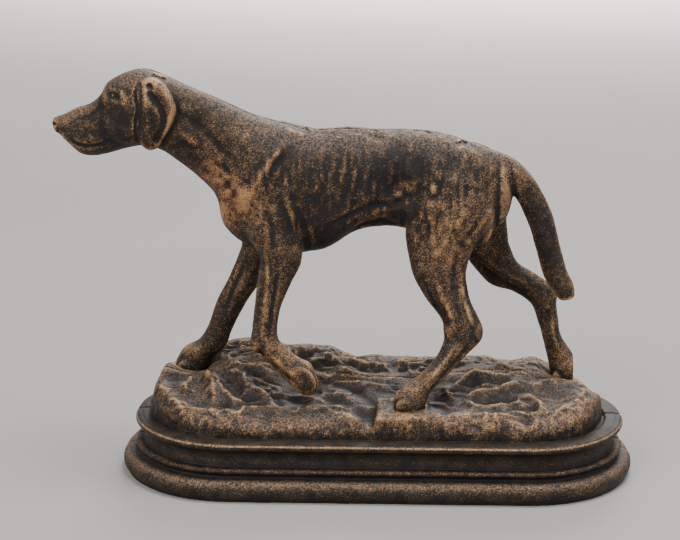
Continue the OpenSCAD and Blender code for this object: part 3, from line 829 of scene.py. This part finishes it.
def plinth_clay(side, seed, shift, chips):
    """The moulded plinth of one half, drawn in by shift, with its screw boss, its bore and its chips."""
    clay = Clay([-96.0, -1.0, -1.0], [124.6, 50.5, 26.0], PLINTH_STEP)
    x, out, z = clay.everywhere()
    xs, outs = x[:, :, 0], out[:, :, 0]
    o = outline_distance(xs - LIP_X, outs, LIP_HALF_X, LIP_HALF_Y, LIP_RADIUS)
    o = o + shift + 0.15 * plane_noise(xs / 17, outs / 17, seed)
    spread = FOOT_SPREAD * between((-55 - x) / 35) * between((12 - z) / 3)
    clay.d = plinth_section(o[:, :, None] - spread, z).astype(np.float32)
    for screw, seat in BASE_SCREWS:
        clay.add(cylinder_across(*screw, HALF_SEAM, LIP_HALF_Y - INNER_WALL + 1, BOSS_RADIUS), 1.5)
        bore(clay, screw, seat, side)
    for chip in chips:
        clay.take(chip, 0.3)
    clay.d += 0.07 * lumps(clay.axes, 4.0, seed + 1)
    clay.d += 0.05 * lumps(clay.axes, 1.6, seed + 2)
    clay.d = np.maximum(clay.d, -z)
    open_seam(clay, seed + 3, PLINTH_SEAM)
    return clay


# ---- screws

def screw_clay(at, seat):
    """A slotted round-head machine screw, with a real thread on the part that goes into the left half."""
    low = [at[0] - 5, -TAPPED_DEPTH, at[1] - 5]
    high = [at[0] + 5, seat + 4, at[1] + 5]
    clay = Clay(low, high, SCREW_STEP)
    x, out, z = clay.everywhere()
    r = np.hypot(x - at[0], z - at[1])
    turn = np.arctan2(z - at[1], x - at[0]) / (2 * math.pi)
    tooth = np.abs(((out / THREAD_PITCH - turn) % 1) - 0.5) * 2
    run_out = between((out - 1.5) / 2)
    tip = between((out + SCREW_END) / 1.5)
    radius = SCREW_RADIUS - THREAD_DEPTH * (tooth * (1 - run_out)) - 0.7 * (1 - tip)
    shank = most((r - radius) * 0.8, -SCREW_END - out, out - seat - 1)
    dome = (HEAD_RADIUS ** 2 + HEAD_HEIGHT ** 2) / (2 * HEAD_HEIGHT)
    base = seat + 2 * HALF_SEAM
    ball = np.sqrt(r ** 2 + (out - base - HEAD_HEIGHT + dome) ** 2) - dome
    head = smooth_max(np.maximum(r - HEAD_RADIUS, base - out), ball, 0.5)
    clay.d = smooth_min(shank, head, 0.3).astype(np.float32)
    across = np.abs((x - at[0]) * 0.94 + (z - at[1]) * 0.34) - DRIVER_SLOT_HALF
    slot = np.maximum(across, base + HEAD_HEIGHT - DRIVER_SLOT_DEPTH - out)
    clay.d = carved(clay.d, slot, 0.2)
    return clay


# ---- from clay to meshes

def mesh_from(name, clay, side, most_triangles):
    """The surface of the clay as a closed mesh, thinned out to that many triangles."""
    grid = openvdb.FloatGrid(background=FAR)
    edge = clay.d.copy()
    for a in range(3):
        view = np.moveaxis(edge, a, 0)
        view[0] = view[-1] = FAR
    grid.copyFromArray(np.ascontiguousarray(edge), tolerance=0.0)
    points, _, quads = grid.convertToPolygons(isovalue=0.0, adaptivity=0.0)
    points = clay.low + points * clay.step
    quads = quads if side < 0 else quads[:, ::-1]
    mesh = bpy.data.meshes.new(name)
    mesh.from_pydata(points * [MM, side * MM, MM], [], quads)
    piece = bpy.data.objects.new(name, mesh)
    bpy.context.scene.collection.objects.link(piece)
    thin = piece.modifiers.new("thin", "DECIMATE")
    thin.ratio = most_triangles / (2 * len(quads))
    graph = bpy.context.evaluated_depsgraph_get()
    piece.data = bpy.data.meshes.new_from_object(piece.evaluated_get(graph))
    piece.modifiers.clear()
    piece.data.name = name
    piece.data.validate()
    piece.data.shade_smooth()
    return piece


def vertices_of(piece, side):
    """Vertices in the clay's own millimetres."""
    co = np.zeros(len(piece.data.vertices) * 3, np.float32)
    piece.data.vertices.foreach_get("co", co)
    return co.reshape(-1, 3) / MM * [1, side, 1]


def store(piece, name, values, limit=1.0):
    layer = piece.data.attributes.new(name, "FLOAT", "POINT")
    layer.data.foreach_set("value", np.clip(values, -1, limit).astype(np.float32))


# Where dry-brushed gold and copper lie thickest, and below zero where the iron stays bare:
# (x, out, z, radius, strength)
GOLD = [
    (-121, 0, 148, 4, -0.8), (-113, 4, 150, 8, 0.7), (-96, 8, 162, 3.4, -0.7), (-91.6, 9, 161, 3, 0.9),
    (-88, 6, 168, 6, 0.2), (-92, 10, 150, 8, -0.6), (-71, 12, 157, 4, 0.3), (-73, 12, 163, 4, 0.1),
    (-77, 12, 144, 5, -0.2), (-84, 13, 154, 5, -0.3), (-66, 8, 150, 9, -0.2), (-42, 14, 121, 6, 2.4),
    (-56, 9, 128, 9, 1.2), (-48, 10, 112, 8, 1), (-36, 15, 112, 9, 1), (-32, 16, 126, 10, 0.8),
    (-22, 16, 122, 6, 0.4), (-20, 18, 44, 9, 1.9), (-36, 16, 84, 11, 0.6), (-31, 18, 58, 7, 1),
    (-2, 16, 128, 17, 0.35), (0, 12, 102, 12, -0.6), (24, 12, 118, 8, -0.8), (24, 14, 134, 9, -0.4),
    (46, 15, 118, 15, 1), (34, 14, 126, 5, 0.6), (40, 15, 98, 10, 0.7), (50, 18, 76, 9, 0.2),
    (43, 20, 66, 8, 0.3), (30, 24, 46, 12, 0.5), (62, 6, 131, 7, 0.6), (70, 5, 126, 8, 0.6),
    (84, 5, 104, 14, -0.2), (92, 5, 84, 9, 0.3), (88, 14, 56, 14, 0.2), (72, 13, 80, 14, -0.4),
    (-60, 12, 58, 14, -0.2), (-70, 13, 44, 7, 0.5), (-44, 12, 88, 12, -0.4), (95, 15, 42, 7, 0.7),
    (60, 10, 112, 9, 0.5),
]
COPPER = [
    (-52, 8, 122, 10, 0.9), (-60, 8, 130, 9, 0.7), (-46, 10, 110, 8, 0.7), (-104, 6, 138, 7, 0.5),
    (-86, 10, 141, 7, 0.4), (22, 12, 106, 8, 0.5), (-80, 12, 150, 7, 0.4), (48, 14, 90, 9, 0.4),
    (-64, 9, 142, 10, 0.6), (-20, 14, 140, 14, 0.4),
]


def hound_gold(points):
    return near(points, GOLD)


def rock_gold(points):
    """Thick on the walls and the block under the near hind paw, thin in the middle."""
    x, out, z = points.T
    edge = -outline_distance(x - ROCK_X, out, ROCK_HALF_X, ROCK_HALF_Y, ROCK_RADIUS)
    wall = between((z - PLINTH_HEIGHT) / 8) * np.exp(-(edge / 6) ** 4)
    patches = [(24, 33, 31, 8, 0.4), (-76, 20, 29, 16, -0.6), (-61, 14, 37, 12, 1.1), (88, 22, 35, 13, 0.6),
               (56, 30, 34, 11, 0.3)]
    return wall - 0.8 + near(points, patches)


def plinth_gold_and_painted_light(points):
    """Thick on the top of the foot and along the top edge of the lip, where it is also a painted highlight;
    none on the ledge and in the cove; painted shade under the lip, at the top of the cove, in the groove
    above the foot and low on the foot.
    """
    z = points[:, 2]
    # Painted light by height: the band at 23.1 to 23.5 is a painted highlight, and the low values at 0 to 5,
    # 9.2 to 11.6, 19 and 22.7 are painted shade.
    by_height = [(0, -0.8), (2, -0.6), (5, -0.4), (8.2, 0.3), (9.2, -1), (11.6, -1), (12.6, -0.8),
                 (13.6, -0.7), (16, -0.5), (19, -0.9), (22.7, -1), (23.1, 1), (23.5, 1.4), (23.75, -1)]
    o = outline_distance(points[:, 0] - LIP_X, points[:, 1], LIP_HALF_X, LIP_HALF_Y, LIP_RADIUS)
    return np.where((o < -3) & (z > 18), -1, np.interp(z, *zip(*by_height)))


def near(points, places):
    total = np.zeros(len(points))
    for x, out, z, radius, strength in places:
        r2 = ((points - [x, out, z]) ** 2).sum(1)
        total += strength * np.exp(-r2 / radius ** 2)
    return total


def curvature(d, passes, step):
    """How strongly a grid curves outwards, in one over millimetres, at a size set by the blurs."""
    return (softened(d, passes) - d) / (0.25 * passes * step * step)


def dress(piece, clay, side, body, nodes, slot, gold_and_painted_light=hound_gold, wear=1.0, proud=0.0, seam_edge=0.6):
    """Gives a piece its wear, its material and its body, and hides the CAD nodes that it stands for. Small
    ridges are rubbed bright by wear and broad ones by proud. The edge beside the seam stays dark, seam_edge
    wide."""
    points = vertices_of(piece, side)
    coarse = clay.d[::2, ::2, ::2]
    fine = curvature(clay.d, 3, clay.step)
    middle = curvature(coarse, 4, 2 * clay.step)
    broad = clay.sample(curvature(coarse, 16, 2 * clay.step), points, 2)
    by_slot = (np.abs(points[:, 0] - SLOT_X) < SLOT_LENGTH / 2 + 3) & (points[:, 2] > SLOT_FLOOR)
    off_seam = between((points[:, 1] - seam_edge - 2.6 * by_slot) / (2.5 * seam_edge)) * wear
    store(piece, "raised", 1.5 * (clay.sample(fine, points) - broad) * off_seam)
    store(piece, "crest", 3 * (clay.sample(middle, points, 2) - broad) * off_seam)
    # On the plinth this gold also holds painted light: a painted highlight on the lip's top edge and painted
    # shade below it.
    store(piece, "gold_and_painted_light", gold_and_painted_light(points) + proud * broad, 2.0)
    store(piece, "copper", near(points, COPPER))
    piece.data.materials.clear()
    piece.data.materials.append(MATERIALS[slot])
    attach(piece, body)
    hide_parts(*nodes)


# ---- materials

class Nodes:
    """Short ways to build a node tree."""

    def __init__(self, name):
        self.material = bpy.data.materials.new(name)
        self.material.use_nodes = True
        self.tree = self.material.node_tree
        self.shader = self.tree.nodes["Principled BSDF"]

    def add(self, kind, **values):
        node = self.tree.nodes.new(kind)
        for key, value in values.items():
            setattr(node, key, value)
        return node

    def join(self, output, target):
        self.tree.links.new(output, target)

    def put(self, target, value):
        """A number or colour on a socket, or a link into it."""
        if isinstance(value, bpy.types.NodeSocket):
            self.join(value, target)
        else:
            target.default_value = value

    def times(self, a, b):
        node = self.add("ShaderNodeMath", operation="MULTIPLY")
        self.put(node.inputs[0], a)
        self.put(node.inputs[1], b)
        return node.outputs[0]

    def total(self, start, *parts):
        """A number plus parts, each of them (value, share of it)."""
        for part in parts:
            node = self.add("ShaderNodeMath", operation="MULTIPLY_ADD")
            for socket, value in zip(node.inputs, (*part, start)):
                self.put(socket, value)
            start = node.outputs[0]
        return start

    def ramp(self, value, low, high):
        """0 below low, 1 above high, smooth between."""
        node = self.add("ShaderNodeMapRange", interpolation_type="SMOOTHSTEP")
        self.put(node.inputs["Value"], value)
        node.inputs["From Min"].default_value = low
        node.inputs["From Max"].default_value = high
        return node.outputs["Result"]

    def mix(self, factor, a, b):
        node = self.add("ShaderNodeMix", data_type="RGBA")
        self.put(node.inputs["Factor"], factor)
        self.put(node.inputs["A"], a)
        self.put(node.inputs["B"], b)
        return node.outputs["Result"]

    def place(self, stretch=(1, 1, 1)):
        """The piece's own coordinates, in millimetres."""
        coords = self.add("ShaderNodeTexCoord")
        mapping = self.add("ShaderNodeMapping")
        self.join(coords.outputs["Object"], mapping.inputs["Vector"])
        mapping.inputs["Scale"].default_value = [s / MM for s in stretch]
        return mapping.outputs["Vector"]

    def noise(self, size, detail=2.0, roughness=0.5, stretch=(1, 1, 1)):
        """Noise from about 0.3 to 0.7 whose grains are size millimetres across."""
        node = self.add("ShaderNodeTexNoise")
        self.join(self.place(stretch), node.inputs["Vector"])
        node.inputs["Scale"].default_value = 1 / size
        node.inputs["Detail"].default_value = detail
        node.inputs["Roughness"].default_value = roughness
        return node.outputs["Fac"]

    def rough(self, height, strength, distance):
        """Raises the surface a little by a height from 0 to 1, at most that many millimetres."""
        bump = self.add("ShaderNodeBump")
        self.put(bump.inputs["Strength"], strength)
        bump.inputs["Distance"].default_value = distance * MM
        self.join(height, bump.inputs["Height"])
        self.join(bump.outputs["Normal"], self.shader.inputs["Normal"])

    def attribute(self, name):
        return self.add("ShaderNodeAttribute", attribute_name=name).outputs["Fac"]

    def facing_up(self):
        geometry = self.add("ShaderNodeNewGeometry")
        split = self.add("ShaderNodeSeparateXYZ")
        self.join(geometry.outputs["Normal"], split.inputs[0])
        return split.outputs["Z"]


def patinated_iron():
    """Dark bronzed iron: sandy grain, dry-brushed gold and copper on what stands proud, tops paler from dust
    and from painted light from above, and painted shade in the hollows.
    """
    n = Nodes("patinated_iron")
    raised, crest = n.attribute("raised"), n.attribute("crest")
    # The gold attribute is dry-brushed gold, and on the plinth also a painted highlight and painted shade.
    gold_and_painted_light, copper = n.attribute("gold_and_painted_light"), n.attribute("copper")
    grain = n.noise(0.46, 2.0, 0.6)
    sand = n.noise(0.85, 2.0, 0.6)
    patch = n.noise(6.0, 3.0, 0.55)
    broad = n.noise(22.0, 2.0, 0.5)
    up = n.facing_up()

    dark = n.mix(n.ramp(patch, 0.35, 0.65), (0.017, 0.013, 0.011, 1), (0.036, 0.027, 0.020, 1))
    # Painted shade: hollows and creases, where crest and raised fall below zero, are darkened towards
    # blue-black.
    hollow = n.ramp(n.total(0.0, (crest, 1.0), (raised, 1.0)), -0.05, -0.7)
    dark = n.mix(n.times(hollow, 0.7), dark, (0.014, 0.014, 0.016, 1))
    # Partly dust and partly painted light from above: faces turned up get a pale dusty colour.
    dust_and_top_light = n.times(n.ramp(up, 0.25, 0.95), n.ramp(sand, 0.36, 0.6))
    dust_and_top_light = n.times(dust_and_top_light, n.ramp(gold_and_painted_light, -0.9, 0.1))
    colour = n.mix(n.times(dust_and_top_light, 0.8), dark, (0.18, 0.14, 0.12, 1))

    # Faces turned up get a little more bright speckle, a painted light from above.
    speck = n.total(-1.8, (grain, 2.2), (sand, 1.0), (patch, 0.4), (crest, 0.45), (raised, 0.45), (gold_and_painted_light, 0.3),
                    (up, 0.08))
    red = n.total(-0.8, (copper, 1.0), (broad, 1.6))
    brown = n.mix(n.ramp(red, 0.1, 0.7), (0.24, 0.135, 0.066, 1), (0.25, 0.105, 0.055, 1))
    colour = n.mix(n.times(n.ramp(speck, 0.02, 0.36), 0.85), colour, brown)
    bright_mask = n.times(n.ramp(speck, 0.36, 0.75), 0.8)
    # The bright speckle turns paler and pinker on faces turned up: partly dust and partly painted light from
    # above.
    bright = n.mix(n.ramp(up, 0.0, 0.8), (0.50, 0.29, 0.12, 1), (0.52, 0.35, 0.22, 1))
    n.join(n.mix(bright_mask, colour, bright), n.shader.inputs["Base Color"])
    n.shader.inputs["Metallic"].default_value = 0.55
    n.join(n.total(0.62, (bright_mask, -0.14)), n.shader.inputs["Roughness"])
    n.shader.inputs["Specular IOR Level"].default_value = 0.5

    fur = n.noise(0.8, 2.0, 0.6, (1, 1, 0.35))
    height = n.total(0.0, (grain, 0.5), (sand, 0.7), (fur, 0.4))
    n.rough(height, n.total(0.3, (n.ramp(gold_and_painted_light, -0.9, -0.2), 0.55)), 0.5)
    return n.material


def aged_steel():
    """Screw steel: turned grey metal, brown in the thread and the slot."""
    n = Nodes("screw_steel")
    rings = n.noise(0.35, 2.0, 0.6, (1, 0.2, 1))
    patch = n.noise(1.6, 3.0, 0.6)
    rust = n.ramp(n.total(0.0, (patch, 1.0), (n.attribute("raised"), -0.2)), 0.42, 0.62)
    metal = n.mix(n.ramp(rings, 0.3, 0.7), (0.20, 0.19, 0.18, 1), (0.34, 0.33, 0.31, 1))
    n.join(n.mix(rust, metal, (0.085, 0.05, 0.03, 1)), n.shader.inputs["Base Color"])
    n.shader.inputs["Metallic"].default_value = 0.9
    n.join(n.total(0.3, (rust, 0.35)), n.shader.inputs["Roughness"])
    n.rough(n.total(0.0, (rings, 1.0), (patch, 1.0)), 0.3, 0.12)
    return n.material


def pale_floor():
    n = Nodes("pale_floor")
    cloud = n.ramp(n.noise(300.0, 2.0, 0.5), 0.2, 0.8)
    n.join(n.mix(cloud, (0.375, 0.358, 0.343, 1), (0.40, 0.384, 0.37, 1)), n.shader.inputs["Base Color"])
    n.shader.inputs["Roughness"].default_value = 0.85
    n.shader.inputs["Specular IOR Level"].default_value = 0.2
    return n.material


# ---- the bank

MOST_DOG = 190000
MOST_ROCK = 110000
MOST_PLINTH = 90000
MOST_SCREW = 60000
MATERIALS = {"patinated_iron": patinated_iron(), "screw_steel": aged_steel()}

# Each half: body, side, legs, beds under its paws as (x, out, z, radius), loose rocks, how far its plinth
# is drawn in, chips in the plinth, and seed
HALVES = [
    ("left_half", -1, near_legs, [(26, 27, 34.4, 11.0)],
     [pedestal()], 0.0, [egg(-79.6, 12.4, 29.8, 1.1, 2.4, 2.2, 35)], 11),
    ("right_half", 1, far_legs, [(-67, 13.4, 35.4, 9), (94.5, 14.4, 33.4, 9)],
     [], 0.25, [], 57),
]
for body, side, legs, pads, blocks, shift, chips, seed in HALVES:
    clay = dog_clay(legs, seed, side)
    piece = mesh_from(body + "_hound", clay, side, MOST_DOG)
    nodes = [body + "_" + part for part in ("head", "torso", "foreleg", "hind_leg", "tail")]
    dress(piece, clay, side, body, nodes, "patinated_iron")

    clay = rock_clay(side, seed + 20, pads, blocks)
    piece = mesh_from(body + "_rockwork", clay, side, MOST_ROCK)
    dress(piece, clay, side, body, [body + "_rocks"], "patinated_iron", rock_gold, 0.6, 2.5, 0.3)

    clay = plinth_clay(side, seed + 40, shift, chips)
    piece = mesh_from(body + "_moulded_plinth", clay, side, MOST_PLINTH)
    dress(piece, clay, side, body, [body + "_plinth"], "patinated_iron", plinth_gold_and_painted_light, 0.25)

for node, (screw, seat) in SCREWS.items():
    clay = screw_clay(screw, seat)
    piece = mesh_from("slotted_" + node, clay, 1, MOST_SCREW)
    dress(piece, clay, 1, node, [node], "screw_steel")


# ---- floor, light and camera

# Where the camera stands, in metres, and how it is turned, in radians
EYE = (0.0111, -0.7816, 0.3040)
YAW, PITCH, ROLL = -0.0179, 0.2712, 0.0064
FLOOR_HALF = 30.0


def lamp(name, place, aim, size, watts, colour, spread=180):
    data = bpy.data.lights.new(name, "AREA")
    data.shape = "DISK"
    data.size = size
    data.energy = watts
    data.spread = math.radians(spread)
    data.color = colour
    light = bpy.data.objects.new(name, data)
    light.location = place
    light.rotation_euler = (Vector(aim) - Vector(place)).to_track_quat("-Z", "Y").to_euler()
    bpy.context.scene.collection.objects.link(light)


def floor():
    mesh = bpy.data.meshes.new("floor")
    corners = [(x * FLOOR_HALF, y * FLOOR_HALF, 0) for x, y in ((-1, -1), (1, -1), (1, 1), (-1, 1))]
    mesh.from_pydata(corners, [], [(0, 1, 2, 3)])
    plane = bpy.data.objects.new("floor", mesh)
    mesh.materials.append(pale_floor())
    bpy.context.scene.collection.objects.link(plane)


def camera():
    """A long lens a little above the near side, turned by YAW, PITCH and ROLL."""
    data = bpy.data.cameras.new("camera")
    data.lens = 101.8
    data.sensor_width = 36
    data.clip_start = 0.05
    data.clip_end = 50
    eye = bpy.data.objects.new("camera", data)
    turn = (Matrix.Rotation(-YAW, 4, "Z") @ Matrix.Rotation(math.pi / 2 - PITCH, 4, "X")
            @ Matrix.Rotation(ROLL, 4, "Z"))
    eye.matrix_world = Matrix.Translation(EYE) @ turn
    bpy.context.scene.collection.objects.link(eye)
    bpy.context.scene.camera = eye


def world():
    sky = bpy.data.worlds.new("studio")
    sky.use_nodes = True
    background = sky.node_tree.nodes["Background"]
    background.inputs["Color"].default_value = (0.97, 0.97, 1.0, 1)
    background.inputs["Strength"].default_value = 0.55
    bpy.context.scene.world = sky


floor()
world()
lamp("far", (0.2, 2.3, 1.5), (0.2, 2.4, 0), 1.0, 78, (1.0, 1.0, 1.0), 90)
lamp("rim", (0.4, 2.4, 1.4), (0.2, 2.0, 0), 1.6, 66, (1.0, 1.0, 1.0))
lamp("key", (0.3, -0.02, 1.5), (0, 0, 0.1), 0.8, 17.5, (1.0, 0.98, 0.95))
lamp("front", (-0.9, -1.3, 1.2), (0, 0, 0.08), 0.9, 20, (1.0, 0.97, 0.93))
lamp("side", (1.3, -0.5, 0.8), (0, 0, 0.08), 0.5, 6, (0.95, 0.97, 1.0))
camera()
